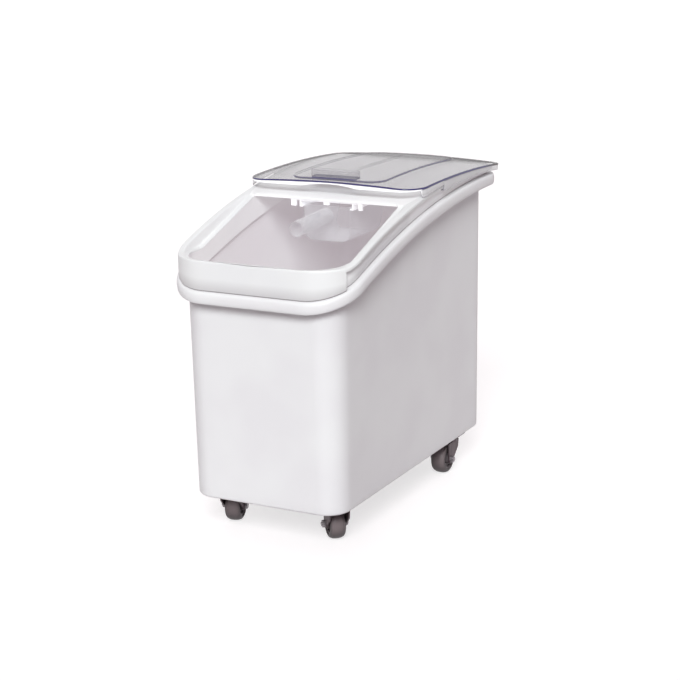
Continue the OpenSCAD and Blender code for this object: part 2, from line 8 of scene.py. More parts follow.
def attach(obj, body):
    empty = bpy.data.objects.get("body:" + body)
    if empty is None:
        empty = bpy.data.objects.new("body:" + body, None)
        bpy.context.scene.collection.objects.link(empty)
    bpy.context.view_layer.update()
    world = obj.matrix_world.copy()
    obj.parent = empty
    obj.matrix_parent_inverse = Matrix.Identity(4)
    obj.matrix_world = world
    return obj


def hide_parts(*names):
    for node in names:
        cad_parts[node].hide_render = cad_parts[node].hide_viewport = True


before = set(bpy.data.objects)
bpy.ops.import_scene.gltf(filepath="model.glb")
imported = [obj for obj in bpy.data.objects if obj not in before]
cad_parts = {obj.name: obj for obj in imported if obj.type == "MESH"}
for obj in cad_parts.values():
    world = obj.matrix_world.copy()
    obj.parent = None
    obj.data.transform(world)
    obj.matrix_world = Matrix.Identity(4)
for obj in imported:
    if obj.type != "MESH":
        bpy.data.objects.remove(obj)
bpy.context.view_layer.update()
print("frame loaded:", len(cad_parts), "nodes")

mm = 0.001

sideArcs = {  # circles in side view: radius, then y and z of the axis, all in mm; the cover's is added further down
    "rim": (1873.0, 330.0, -1231.5),
    "track": (1500.0, 210.0, -836.0),
}


def arcHeight(name, y):
    # height of a circle about an X axis over y: axisZ + sqrt(radius^2 - (y - axisY)^2)
    radius, axisY, axisZ = sideArcs[name]
    return axisZ + np.sqrt(radius ** 2 - (y - axisY) ** 2)


def domeHeight(flat, offset=0.0):
    # height of the cover's dome, a sphere: axisZ + sqrt((radius + offset)^2 - x^2 - (y - axisY)^2)
    radius, axisY, axisZ = sideArcs["cover"]
    return axisZ + np.sqrt((radius + offset) ** 2 - flat[:, 0] ** 2 - (flat[:, 1] - axisY) ** 2)


def arcThrough(start, end, radius):
    # circle through two (y, z) points: its axis is half way between them, then down along the chord's normal
    (y0, z0), (y1, z1) = start, end
    chord = math.hypot(y1 - y0, z1 - z0)
    drop = math.sqrt(radius ** 2 - chord ** 2 / 4)
    return (radius, (y0 + y1) / 2 + drop * (z1 - z0) / chord, (z0 + z1) / 2 - drop * (y1 - y0) / chord)


def smoothStep(t):
    # 0 to 1 along a smooth S: 3 t^2 - 2 t^3
    return t * t * (3 - 2 * t)


# the plan outlines' columns: two of them stand close together where the channel under the track's edge begins
frontAngles = np.radians([*range(-90, -41, 8), -35, -28.9, -28.1, -22, -14, -6])
backAngles = np.radians(np.arange(0, 90, 9))
columnCounts = {"frontLine": 7, "side": 22, "rearSide": 26, "backLine": 8}
roundAngles = np.radians([0, 22, 45, 68, 90])  # the steps of a small rounded edge
capRings = (0.02, 0.6)  # rings inside a flat middle, as shares of its outline


def lineOf(start, end, count):
    # count evenly spaced points from start, without the end
    t = np.linspace(0, 1, count, endpoint=False)[:, None]
    return np.array(start) * (1 - t) + np.array(end) * t


def cornerOf(centre, radius, angles):
    # centre + radius * (cos a, sin a)
    return np.array(centre) + radius * np.stack([np.cos(angles), np.sin(angles)], 1)


def mirrored(half):
    # a half outline, or its normals, with the other side added: the same columns backwards, with x negated
    return np.concatenate([half, half[-2:0:-1] * np.array([-1, 1])])


def outline(halfX, frontY, backY, frontR, backR, split):
    # rounded rectangle from the middle of its front edge round by +X to the middle of its back edge, then mirrored,
    # and its normals; every outline has the same columns, so any two can be joined by straight lines
    n = columnCounts
    half = np.concatenate([
        lineOf((0, frontY), (halfX - frontR, frontY), n["frontLine"]),
        cornerOf((halfX - frontR, frontY + frontR), frontR, frontAngles),
        lineOf((halfX, frontY + frontR), (halfX, split), n["side"]),
        lineOf((halfX, split), (halfX, backY - backR), n["rearSide"]),
        cornerOf((halfX - backR, backY - backR), backR, backAngles),
        lineOf((halfX - backR, backY), (0, backY), n["backLine"]),
        [(0, backY)],
    ])
    facing = np.concatenate([
        np.full(n["frontLine"], -math.pi / 2), frontAngles, np.zeros(n["side"] + n["rearSide"]), backAngles,
        np.full(n["backLine"] + 1, math.pi / 2),
    ])
    return mirrored(half), mirrored(cornerOf((0, 0), 1, facing))


def raised(flat, z):
    # a plan outline lifted to heights z
    return np.concatenate([flat, np.broadcast_to(z, flat.shape[:1])[:, None]], 1)


def addObject(name, data):
    made = bpy.data.objects.new(name, data)
    bpy.context.scene.collection.objects.link(made)
    return made


def gridMesh(name, rows, closedRows=False, capEnds=False, sharpAngle=38, masks=None):
    # rows x columns x 3 points in mm, with the columns closed in a ring: point (i, j) joins its neighbours at i + 1
    # and j + 1 in a quad, and a flat cap closes each end row
    rows = np.asarray(rows, float) * mm
    rowCount, colCount = rows.shape[:2]
    index = np.arange(rowCount * colCount).reshape(rowCount, colCount)
    upper = np.roll(index, -1, 0) if closedRows else index[1:]
    lower = index if closedRows else index[:-1]
    quads = np.stack([lower, np.roll(lower, -1, 1), np.roll(upper, -1, 1), upper], -1).reshape(-1, 4)
    faces = quads.tolist()
    if capEnds:
        faces += [index[0][::-1].tolist(), index[-1].tolist()]
    mesh = bpy.data.meshes.new(name)
    mesh.from_pydata(rows.reshape(-1, 3), [], faces)
    for maskName, values in (masks or {}).items():
        layer = mesh.attributes.new(maskName, "FLOAT", "POINT")
        values = np.broadcast_to(values, (rowCount, colCount)).astype(np.float32)
        layer.data.foreach_set("value", values.ravel())
    mesh.validate()
    mesh.shade_smooth()
    mesh.set_sharp_from_angle(angle=math.radians(sharpAngle))
    return addObject(name, mesh)


casterPlaces = {  # x and y of each caster's pivot in mm, and the way its wheel trails in degrees
    "front_left": (-121.0, -261.0, 104.0), "front_right": (121.0, -261.0, 133.0),
    "back_left": (-132.0, 224.0, -68.0), "back_right": (132.0, 224.0, -90.0),
}

tubSizes = {
    "footZ": 80.1, "halfX": 167.5, "halfY": 342.0, "corner": 48.0, "split": -68.0, "wall": 4.0, "floor": 5.0,
    "footRound": 5.0, "floorRound": 12.0,
    "lean": 0.01, "leanAtRim": 4.0,  # slope of the wall, and how far it has come out at the rim
    "rimX": 199.5, "rimY": 372.0, "rimFrontR": 90.0, "rimBackR": 56.5, "rimSkin": 4.0,
    # (inset, height) from the rim's outside and top round the rolled bead, from its inner edge and its tip upwards
    "bead": [(4.0, -4.0), (4.0, -21.8), (3.4, -22.6), (2.6, -23.0), (1.7, -22.3), (0.9, -20.4), (0.25, -17.0),
             (0, -12.5), (0.1, -8.5), (0.55, -5.2), (1.4, -2.8), (2.6, -1.2), (4.2, -0.3), (6.2, 0)],
    # (inset, height) from the wall's outside and top round its inner top edge
    "wallEdge": [(2.6, 0), (3.4, -0.3), (3.9, -0.9), (4.0, -1.8)],
}


def makeTub():
    # one outline carried up the outside, round the rim's bead and down the inside; the rim follows its side arc
    s = tubSizes
    base, out = outline(s["halfX"], -s["halfY"], s["halfY"], s["corner"], s["corner"], s["split"])
    rim, rimOut = outline(s["rimX"], -s["rimY"], s["rimY"], s["rimFrontR"], s["rimBackR"], s["split"])
    topZ = arcHeight("rim", base[:, 1] + out[:, 1] * s["leanAtRim"])
    wallFoot = s["footZ"] + s["footRound"]
    floorZ = s["footZ"] + s["floor"]
    wallEnd = floorZ + s["floorRound"]
    insideTop = topZ + s["wallEdge"][-1][1]

    def wallAt(z, inset):
        # the body leans out: its outline moves along its normals by lean times the height above the foot
        z = np.broadcast_to(z, base.shape[:1])
        return raised(base + out * (s["lean"] * (z - s["footZ"]) - inset)[:, None], z)

    rows = [raised(base * share, s["footZ"]) for share in capRings]
    for a in np.radians(np.linspace(0, 90, 7)):
        rows.append(wallAt(wallFoot - s["footRound"] * math.cos(a), s["footRound"] * (1 - math.sin(a))))
    for t in np.linspace(0.04, 1, 14):
        rows.append(wallAt(wallFoot + t * (topZ - s["rimSkin"] - wallFoot), 0))
    for inset, height in s["bead"]:
        flat = rim - rimOut * inset
        rows.append(raised(flat, arcHeight("rim", flat[:, 1]) + height))
    outsideRows = len(rows)
    for inset, height in s["wallEdge"]:
        rows.append(wallAt(topZ + height, inset))
    for t in np.linspace(0.06, 1, 12):
        rows.append(wallAt(insideTop + t * (wallEnd - insideTop), s["wall"]))
    for a in np.radians(np.linspace(10, 90, 8)):
        inset = s["wall"] + s["floorRound"] * (1 - math.cos(a))
        rows.append(wallAt(wallEnd - s["floorRound"] * math.sin(a), inset))
    rows += [raised(base * share, floorZ) for share in capRings[::-1]]
    # the inside rows take the painted glow of the bin's inside
    inside = (np.arange(len(rows)) >= outsideRows)[:, None]
    return gridMesh("tubShell", rows, capEnds=True, masks={"inside": inside})


padSizes = {"half": 29.6, "corner": 5.0, "thick": 8.0, "round": 2.0, "sunk": 0.5}


def makePads():
    # the raised pads that take the caster screws, one over each pivot: a rounded square with a rounded top edge
    s = padSizes
    floorZ = tubSizes["footZ"] + tubSizes["floor"]
    roundZ = floorZ + s["thick"] - s["round"]
    pads = []
    for corner, (x, y, _) in casterPlaces.items():
        base, out = outline(s["half"], y - s["half"], y + s["half"], s["corner"], s["corner"], y)
        base = base + np.array([x, 0])
        rows = [raised(base, floorZ - s["sunk"])]
        for a in roundAngles:
            rows.append(raised(base - out * s["round"] * (1 - math.cos(a)), roundZ + s["round"] * math.sin(a)))
        # the pads glow in full with the bin's painted inside light
        pads.append(gridMesh(corner + "_pad", rows, capEnds=True, masks={"inside": 1.0}))
    return pads


frameSizes = {
    "halfX": 195.0, "halfY": 367.5, "frontR": 85.5, "backR": 52.0, "split": -68.0,
    "channelY": -322.5, "channelDepth": 8.5, "edge": 8.0, "trackWidth": 18.0, "boardZ": 567.25, "boardBlend": 3.0,
    "openX": 164.0, "openFront": -363.0, "openBack": -60.0, "openFrontR": 66.0, "openBackR": 8.0, "openRound": 1.6,
    "ledgeKnee": -268.0, "ledgeBackZ": 638.1, "ledgeStep": 0.4, "thick": 4.5, "strip": 3.0, "stripFall": 2.5,
    "roll": 9.0, "rollStart": 0.55, "trackReach": 0.55, "deckBevel": 0.8, "seatGap": 0.1, "hair": 0.01,
    "lipY": 339.1, "lipR": 43.0, "lipThick": 2.4, "lipDrop": 14.0,
    # (inset, lift, darkness) of the seam over the rim, from inside out; the darkness is shade painted into its
    # crease
    "seam": [(4.0, 0, 1), (2.0, 0.1, 1), (1.6, 1.2, 1), (1.0, 1.8, 1), (0.3, 2.2, 1), (0, 3.2, 0.35)],
    # (distance, lift) round the channel's ceiling: from its back wall, and from the frame's outside
    "channelBack": [(0, -1.5), (0.4, -0.3), (1.5, 0)], "channelLip": [(1.2, 0), (0.35, 0.35)], "lipEnd": 1.2,
    # (inset, lift) round the track's outer edge, and (distance short of the opening, lift) round the opening's edge
    "trackEdge": [(0, -3.0), (0.25, -1.8), (0.9, -0.8), (1.8, -0.25), (3.0, 0)],
    "openEdge": [(0.5, -0.4), (0, -1.5)],
}
# painted light: the parts of the frame glow by these amounts, in place of light from the bin and through the clear
# cover
paintedFrameGlow = {  # how much of the light inside the bin comes through
    "channel": 0.08, "rearChannel": 0.58, "roll": 0.1, "ledge": 0.08, "openEdge": 0.3, "deck": 0.8,
}


def softMax(a, b, blend):
    # the larger of two heights, with a rounded change-over: (a + b + sqrt((a - b)^2 + blend^2)) / 2
    return 0.5 * (a + b + np.sqrt((a - b) ** 2 + blend ** 2))


def openingOutline():
    # the opening seen from above, with the frame's columns: its rear edge is matched to the frame's whole rear part
    s, n = frameSizes, columnCounts
    x, r, back = s["openX"], s["openBackR"], s["openBack"]
    arc = cornerOf((x - r, back - r), r, np.linspace(0, math.pi / 2, 8, endpoint=False))
    rearCount = n["rearSide"] + len(backAngles) + n["backLine"] + 1 - len(arc)
    along = np.linspace(0, 1, rearCount)[:, None]
    frontEnd = s["openFront"] + s["openFrontR"]
    return mirrored(np.concatenate([
        lineOf((0, s["openFront"]), (x - s["openFrontR"], s["openFront"]), n["frontLine"]),
        cornerOf((x - s["openFrontR"], frontEnd), s["openFrontR"], frontAngles),
        lineOf((x, frontEnd), (x, back - r), n["side"]),
        arc,
        np.array([(x - r, back)]) * (1 - along) + np.array([(0, back)]) * along,
    ]))


def makeFrame():
    # one outline carried from the rim up the outside, over the track, down the ledge to the opening's edge, and
    # back underneath to the lip inside the tub; each row is a plan outline at its own heights
    s, glow, n = frameSizes, paintedFrameGlow, columnCounts
    outer, out = outline(s["halfX"], -s["halfY"], s["halfY"], s["frontR"], s["backR"], s["split"])
    lip, lipOut = outline(s["openX"], -s["lipY"], s["lipY"], s["lipR"], s["lipR"], s["split"])
    hole = openingOutline()
    column = np.arange(len(outer))
    isFront = np.minimum(column, len(outer) - column) <= n["frontLine"] + len(frontAngles) + n["side"]
    hasChannel = outer[:, 1] >= s["channelY"]
    depth = s["channelDepth"] * hasChannel
    toHole = hole - outer
    reach = np.linalg.norm(toHole, axis=1)
    track = np.minimum(s["trackWidth"], reach * s["trackReach"])
    rows, inside, seam = [], [], []

    # light is a row's painted glow, dark the shade painted into the seam's crease
    def add(row, light=0.0, dark=0.0):
        rows.append(row)
        inside.append(np.broadcast_to(light, depth.shape))
        seam.append(np.broadcast_to(dark, depth.shape))

    def topZ(y):
        return softMax(arcHeight("track", y), s["boardZ"], s["boardBlend"])

    def surfaceZ(y):
        # in front, level and then a straight slope up to the deck; behind, the deck itself
        slope = (s["ledgeBackZ"] - s["boardZ"]) / (s["openBack"] - s["ledgeKnee"])
        ledgeZ = s["boardZ"] - s["ledgeStep"] + np.maximum(0, y - s["ledgeKnee"]) * slope
        return np.where(isFront, np.minimum(ledgeZ, topZ(y)), topZ(y))

    def seatZ(y):
        return arcHeight("rim", y) + s["seatGap"]

    def ceilingZ(y):
        return topZ(y) - s["edge"]

    def belowZ(y):
        # under the deck behind the opening, and over the rim in front of it
        return np.where(isFront, arcHeight("rim", y) + s["strip"], topZ(y) - s["thick"])

    def side(inset, z, lift=0.0):
        # the outside set in along its normals, at height z plus lift
        flat = outer - out * np.broadcast_to(inset, depth.shape)[:, None]
        return raised(flat, z(flat[:, 1]) + lift)

    def across(distance, z, lift=0.0):
        # points at a distance from the outside, on straight lines to the opening's edge, at height z plus lift
        flat = outer + toHole * (np.broadcast_to(distance, reach.shape) / reach)[:, None]
        return raised(flat, z(flat[:, 1]) + lift)

    channel = np.where(outer[:, 1] > s["openBack"], glow["rearChannel"], glow["channel"] * hasChannel)
    # the seam's rows, with painted shade in its crease
    for inset, lift, dark in s["seam"]:
        add(side(depth + inset, seatZ, lift), channel, dark)
    add(side(depth, lambda y: (seatZ(y) + ceilingZ(y)) / 2), channel)
    for distance, lift in s["channelBack"]:
        add(side(np.maximum(depth - distance, 0), ceilingZ, lift), channel)
    for distance, lift in s["channelLip"]:
        add(side(distance * hasChannel, ceilingZ, lift), channel)
    add(side(0, ceilingZ, s["lipEnd"]))
    for inset, lift in s["trackEdge"]:
        add(side(inset, topZ, lift))

    add(across(track * 0.5, topZ))
    for t in np.linspace(0, 1, 9):  # the track rolls down to the ledge along a smooth S
        blend = smoothStep(t)
        flatAt = track + s["roll"] * (t - s["rollStart"])
        add(across(flatAt, lambda y: topZ(y) * (1 - blend) + surfaceZ(y) * blend), glow["roll"] * isFront * (t > 0))
    ledgeLight = np.where(isFront, glow["ledge"], glow["deck"])
    ledgeStart = track + s["roll"] * (1 - s["rollStart"])
    ledgeEnd = reach - s["openRound"]
    for t in np.linspace(0.08, 1, 15):
        add(across(ledgeStart + t * (ledgeEnd - ledgeStart), surfaceZ), ledgeLight)
    openEdgeLight = np.where(isFront, glow["openEdge"], glow["deck"])
    for (short, lift), light in zip(s["openEdge"], (ledgeLight, openEdgeLight)):
        add(across(reach - short, surfaceZ, lift), light)

    # the underside and the lip glow in full with painted light
    add(across(reach, surfaceZ, np.where(isFront, 0, s["deckBevel"]) - s["thick"]), 1)
    add(across(reach - s["hair"], belowZ), 1)
    for t in np.linspace(0.1, 1, 10):
        flat = hole * (1 - t) + lip * t
        add(raised(flat, belowZ(flat[:, 1]) - s["stripFall"] * t * isFront), 1)
    lipSide = lip + lipOut * s["lipThick"]
    add(raised(lip, arcHeight("rim", lip[:, 1]) - s["lipDrop"]), 1)
    add(raised(lipSide, arcHeight("rim", lip[:, 1]) - s["lipDrop"]), 1)
    add(raised(lipSide, seatZ(lip[:, 1])), 1)
    masks = {"inside": np.array(inside), "paintedCreaseShade": np.array(seam)}
    return gridMesh("lidFrameShell", rows, closedRows=True, masks=masks)


coverSizes = {
    "halfX": 198.4, "frontY": -48.0, "backY": 368.0, "frontR": 50.0, "backR": 20.0, "hookY": 77.0,
    "rise": 31.0, "curve": 2800.0, "sheet": 2.5, "edgeRound": 2.4, "gap": 0.4, "sideLift": 1.0,
    "skirt": 11.5, "skirtDepth": 28.0, "notchX": 50.0, "notchZ": 6.5,
    "hookDrop": 11.4, "hookReach": 8.0, "hookThick": 3.0, "footThick": 0.02,
    "columnStep": 0.05,  # spacing of the columns that stand close together at the hooks' ends, so these are square
    "least": 0.05,  # the least rounding and the least height of a wall
    "panelX": 107.0, "panelMargin": 20.0, "panelR": 38.0, "panelRise": 3.0, "riserOut": 0.6, "riserRun": 3.6,
    "panelFoot": 2.2, "middleLine": (20, 300),  # the y range of the line that the panel's rings shrink to
}
# at the back and on the left the moulded lines, rear skirt and bands carry a painted brown reflection
coverLines = {  # how dark the moulded edges show; a little under 0 the sheet turns clearer instead
    "hook": 0.4, "foot": 0.2, "frontSkirt": -0.15, "rearSkirt": 1.0, "rim": 1.0, "riserAt": 0.35, "riserFade": 2.4,
    # (distance in from the rim, darkness at the back, darkness on the left); at the back and on the left
    # the bands show a painted brown reflection
    "bands": [(1.2, 1.0, 0.8), (4.0, 1.0, 0.4), (9.0, 0.8, 0.15), (12.0, 0.0, 0.0)],
    # the milky skirts also glow with painted light
    "frontMilk": 0.85, "sideMilk": 0.3,  # how milky the skirts are
}


def coverArc():
    # the dome meets the track's height plus rise at its front, and clears the track by gap at its back corners
    s = coverSizes
    crown = s["curve"] - math.sqrt(s["curve"] ** 2 - s["halfX"] ** 2)
    frontZ = float(arcHeight("track", s["frontY"])) + s["rise"]
    backZ = float(arcHeight("track", s["backY"])) + s["sheet"] + s["gap"] + crown
    return arcThrough((s["frontY"], frontZ), (s["backY"], backZ), s["curve"])


sideArcs["cover"] = coverArc()


def coverRows(inset):
    # rows of the cover's surface from its bottom edge to the panel's middle: plan outlines set in step by step,
    # each at the dome's height less the skirt, the sheet's thickness or the rounding, or plus the panel's rise
    s, lines, n = coverSizes, coverLines, columnCounts
    edge, out = outline(s["halfX"], s["frontY"], s["backY"], s["frontR"], s["backR"], s["hookY"])
    margin, panelR = s["panelMargin"] + inset, s["panelR"] - inset
    panel, panelOut = outline(s["panelX"] - inset, s["frontY"] + margin, s["backY"] - margin, panelR, panelR,
                              s["hookY"])
    hookEnd, step = s["backY"] - s["backR"], s["columnStep"]
    first = n["frontLine"] + len(frontAngles) + n["side"]
    last = first + n["rearSide"]
    beforeHook = s["hookY"] - step
    for at, movedY in ((first - 2, beforeHook - step), (first - 1, beforeHook), (last - 1, hookEnd - step)):
        edge[[at, -at], 1] = movedY  # the same column on both sides

    x, y = edge[:, 0], edge[:, 1]
    front = y < s["frontY"] + s["skirtDepth"]
    behind = y > hookEnd + step / 2
    onLeft = (x < 0) & (y > s["frontY"] + s["frontR"] / 2) & ~behind
    hooked = (y > s["hookY"] - 1.5 * step) & ~behind
    lipped = (y > s["hookY"] - step / 2) & (y < hookEnd - step / 2)
    track = arcHeight("track", y)
    arch = s["notchZ"] * np.sqrt(np.clip(1 - (x / s["notchX"]) ** 2, 0, 1)) * (y < s["frontY"] + 1)
    frontFoot = domeHeight(edge * np.array([0, 1]), -s["skirt"]) + arch  # level across, with the finger notch
    feet = [track + s["gap"], track - s["hookDrop"], frontFoot]
    bottom = np.select([behind, hooked, front], feet, track + s["sideLift"])
    edgeR = max(s["edgeRound"] - inset, s["least"])
    shoulder = domeHeight(edge) - inset - edgeR
    start = np.minimum(bottom, shoulder - s["least"])
    skirtLine = lines["frontSkirt"] * (y < s["hookY"]) + lines["rearSkirt"] * behind
    milk = np.where(front, lines["frontMilk"], lines["sideMilk"])
    rows, line, frostAndGlow = [], [], []

    def add(row, dark, milky=0.0):
        rows.append(row)
        line.append(np.broadcast_to(dark, y.shape))
        frostAndGlow.append(np.broadcast_to(milky, y.shape))

    if inset:
        lip = edge - out * np.where(lipped, s["hookReach"], inset)[:, None]
        lift = np.where(hooked, s["hookThick"], s["footThick"])
        add(raised(lip, start), lines["hook"])
        add(raised(lip, start + lift), lines["hook"])
        edge = edge - out * inset
        start = start + lift
        add(raised(edge, start), skirtLine, milk)
    else:
        add(raised(edge, start), lines["foot"], milk)
    for t in (0.25, 0.8):  # two rows up the skirt
        add(raised(edge, start * (1 - t) + shoulder * t), skirtLine, milk)
    for a in roundAngles:
        flat = edge - out * edgeR * (1 - math.cos(a))
        add(raised(flat, domeHeight(flat) - inset - edgeR * (1 - math.sin(a))), lines["rim"])
    # bands in from the rim: at the back and on the left they carry a painted brown reflection
    for inwards, rearDark, leftDark in lines["bands"]:
        shelf = edge - out * (edgeR + inwards)
        add(raised(shelf, domeHeight(shelf) - inset), rearDark * behind + leftDark * onLeft)
    foot = panel + panelOut * s["panelFoot"]
    for t in np.linspace(0.14, 1, 7):
        flat = shelf * (1 - t) + foot * t
        add(raised(flat, domeHeight(flat) - inset), 0)
    for t in np.linspace(0, 1, 7):  # riser: up to the raised panel along a smooth S
        flat = panel + panelOut * (s["riserOut"] - s["riserRun"] * t)
        lifted = domeHeight(flat, s["panelRise"] * smoothStep(t)) - inset
        add(raised(flat, lifted), max(0, 1 - abs(t - lines["riserAt"]) * lines["riserFade"]))
    middle = np.stack([np.zeros(len(y)), np.clip(flat[:, 1], *s["middleLine"])], 1)
    for t in np.linspace(0.1, 0.98, 12):
        ring = flat * (1 - t) + middle * t
        add(raised(ring, domeHeight(ring, s["panelRise"]) - inset), 0)
    return rows, line, frostAndGlow


def makeCover():
    # the inner surface from its middle out to the edge, then the outer surface back to its middle
    outer, inner = coverRows(0), coverRows(coverSizes["sheet"])
    rows, line, frostAndGlow = (innerPart[::-1] + outerPart for innerPart, outerPart in zip(inner, outer))
    masks = {"line": np.array(line), "frostAndGlow": np.array(frostAndGlow)}
    return gridMesh("coverShell", rows, capEnds=True, sharpAngle=50, masks=masks)


pullSizes = {
    "halfX": 51.0, "depth": 23.0, "height": 15.0, "round": 3.0, "corner": 4.0, "fromPanel": 1.0,
    "foot": [(-1.5, 1.0), (0.2, 0.8), (1.2, 0.0)],  # (height over the panel, darkness) of the foot's dark line
    "edgeLine": 0.08, "milk": 0.12, "topRings": (0.85, 0.34),
}


def makePull():
    # a hollow block on the panel's front: rings of one rounded rectangle, set in as the top edge rounds over
    s, cover = pullSizes, coverSizes
    front = cover["frontY"] + cover["panelMargin"] + s["fromPanel"]
    middle = front + s["depth"] / 2
    base, out = outline(s["halfX"], front, front + s["depth"], s["corner"], s["corner"], middle)
    panelZ = domeHeight(base, cover["panelRise"])
    panelFront = np.array([(0.0, front - s["fromPanel"])])
    roundZ = float(domeHeight(panelFront, cover["panelRise"])[0]) + s["height"] - s["round"]
    rows = [raised(base, panelZ + height) for height, dark in s["foot"]]
    line = [dark for height, dark in s["foot"]]
    for a in roundAngles:
        rows.append(raised(base - out * s["round"] * (1 - math.cos(a)), roundZ + s["round"] * math.sin(a)))
        line.append(s["edgeLine"] * (a > 0))
    centre, last = np.array([0, middle]), rows[-1][:, :2]
    for share in s["topRings"]:
        rows.append(raised(centre + (last - centre) * share, roundZ + s["round"]))
        line.append(0.0)
    return gridMesh("coverPull", rows, capEnds=True, masks={"line": np.array(line)[:, None], "frostAndGlow": s["milk"]})


tyreSizes = {
    "wheelR": 31.5, "width": 32.0, "hubR": 21.6, "wallR": 22.4, "bead": 1.0, "roundness": 2.5, "trail": 22.0,
    "grooveAt": 10.5, "grooveWide": 0.7, "grooveDeep": 0.5, "sectionSteps": 49, "sides": 96,
}


def makeTyre(corner):
    # a section turned about the axle: |across / halfWidth|^n + |(r - wallR) / (wheelR - wallR)|^n = 1, with a fine
    # groove by each shoulder; then the axle is set at trail from the pivot and turned by the caster's angle
    s = tyreSizes
    x, y, yaw = casterPlaces[corner]
    halfWidth, power = s["width"] / 2, 2 / s["roundness"]
    a = np.linspace(0, math.pi, s["sectionSteps"])
    across = halfWidth * np.sign(np.cos(a)) * np.abs(np.cos(a)) ** power
    radius = s["wallR"] + (s["wheelR"] - s["wallR"]) * np.sin(a).clip(0) ** power
    radius = radius - s["grooveDeep"] * np.exp(-((np.abs(across) - s["grooveAt"]) / s["grooveWide"]) ** 2)
    across = np.append(across, [s["bead"] - halfWidth, halfWidth - s["bead"]])[:, None]
    radius = np.append(radius, [s["hubR"], s["hubR"]])[:, None]
    turn = np.linspace(0, 2 * math.pi, s["sides"], endpoint=False)
    along = s["trail"] + radius * np.cos(turn)
    z = s["wheelR"] + radius * np.sin(turn)
    c, d = math.cos(math.radians(yaw)), math.sin(math.radians(yaw))
    points = np.stack([x + c * along - d * across, y + d * along + c * across, z], -1)
    return gridMesh(corner + "_tyreShell", points, closedRows=True)


class Socket:
    # wraps a node's output, so that shading formulas are written as sums and products
    def __init__(self, material, output):
        self.material, self.output = material, output

    def __add__(self, other):
        return self.material.math("ADD", self, other)

    def __mul__(self, other):
        return self.material.math("MULTIPLY", self, other)

    __radd__ = __add__
    __rmul__ = __mul__


class Material:
    # a node material or world; every node is made by node(type, settings, sockets)
    def __init__(self, name, kind="materials"):
        self.data = getattr(bpy.data, kind).new(name)
        self.data.use_nodes = True
        self.tree = self.data.node_tree
        self.tree.nodes.clear()

    def node(self, kind, settings=None, sockets=None, output=0):
        made = self.tree.nodes.new("ShaderNode" + kind)
        for key, value in (settings or {}).items():
            setattr(made, key, value)
        for key, value in (sockets or {}).items():
            if isinstance(value, Socket):
                self.tree.links.new(value.output, made.inputs[key])
            else:
                made.inputs[key].default_value = value
        return Socket(self, made.outputs[output]) if made.outputs else made  # an output node passes nothing on

    def math(self, operation, *values, clamp=False):
        return self.node("Math", {"operation": operation, "use_clamp": clamp}, dict(enumerate(values)))

    def seenStraight(self):
        # 1 for a ray from the camera, or one that a polished or a clear surface sends on
        seen = 0.0
        for output in ("Is Camera Ray", "Is Glossy Ray", "Is Transmission Ray"):
            seen = self.math("MAXIMUM", seen, self.node("LightPath", output=output))
        return seen

    def smooth(self, value, low, high):
        # 0 below low, 1 above high, a smooth step between
        sockets = {"Value": value, "From Min": low, "From Max": high}
        return self.node("MapRange", {"interpolation_type": "SMOOTHSTEP"}, sockets)

    def noise(self, scale, detail=3.0, rough=0.5, stretch=(1, 1, 1)):
        # noise over the object's own coordinates in metres, drawn out along an axis where stretch is below 1
        at = self.node("TexCoord", output="Object")
        at = self.node("Mapping", sockets={"Vector": at, "Scale": stretch})
        return self.node("TexNoise", sockets={"Vector": at, "Scale": scale, "Detail": detail, "Roughness": rough})

    def place(self, axis):
        # the x, y or z of the object's own coordinates in metres
        return self.node("SeparateXYZ", sockets={"Vector": self.node("TexCoord", output="Object")}, output=axis)

    def mask(self, name):
        # a value kept at the mesh's points
        return self.node("Attribute", {"attribute_name": name}, output="Fac")

    def mix(self, factor, low, high):
        # a colour between two colours; sockets 6 and 7 are the colour pair of the Mix node, and 2 is its colour
        return self.node("Mix", {"data_type": "RGBA"}, {0: factor, 6: low, 7: high}, output=2)

    def bump(self, height, distance, strength):
        return self.node("Bump", sockets={"Height": height, "Distance": distance, "Strength": strength})

    def finish(self, **values):
        # the Principled shader; a socket's name is written with _ for a space
        sockets = {key.replace("_", " "): value for key, value in values.items()}
        self.node("OutputMaterial", sockets={"Surface": self.node("BsdfPrincipled", sockets=sockets)})
        return self.data


def colour(r, g, b):
    # 0-255 display values to linear light, v / 12.92 or ((v + 0.055) / 1.055)^2.4, with an alpha of 1
    def linear(v):
        v /= 255
        return v / 12.92 if v <= 0.04045 else ((v + 0.055) / 1.055) ** 2.4
    return (linear(r), linear(g), linear(b), 1.0)


def grey(v):
    return (v, v, v, 1.0)


plasticSkin = {
    "cloudScale": 6, "cloudRange": (0.35, 0.65), "grainScale": 420, "grainStrength": 0.5, "wearScale": 60,
    "wear": 0.08, "edgeBlend": 0.75, "ior": 1.46,
    # the painted light inside is stronger towards the front: y in metres where it starts and ends to rise, and its
    # levels
    "glowRearY": 0.1, "glowFrontY": -0.25, "glowRear": 0.75, "glowRise": 0.5, "glowCloud": 0.2,
}


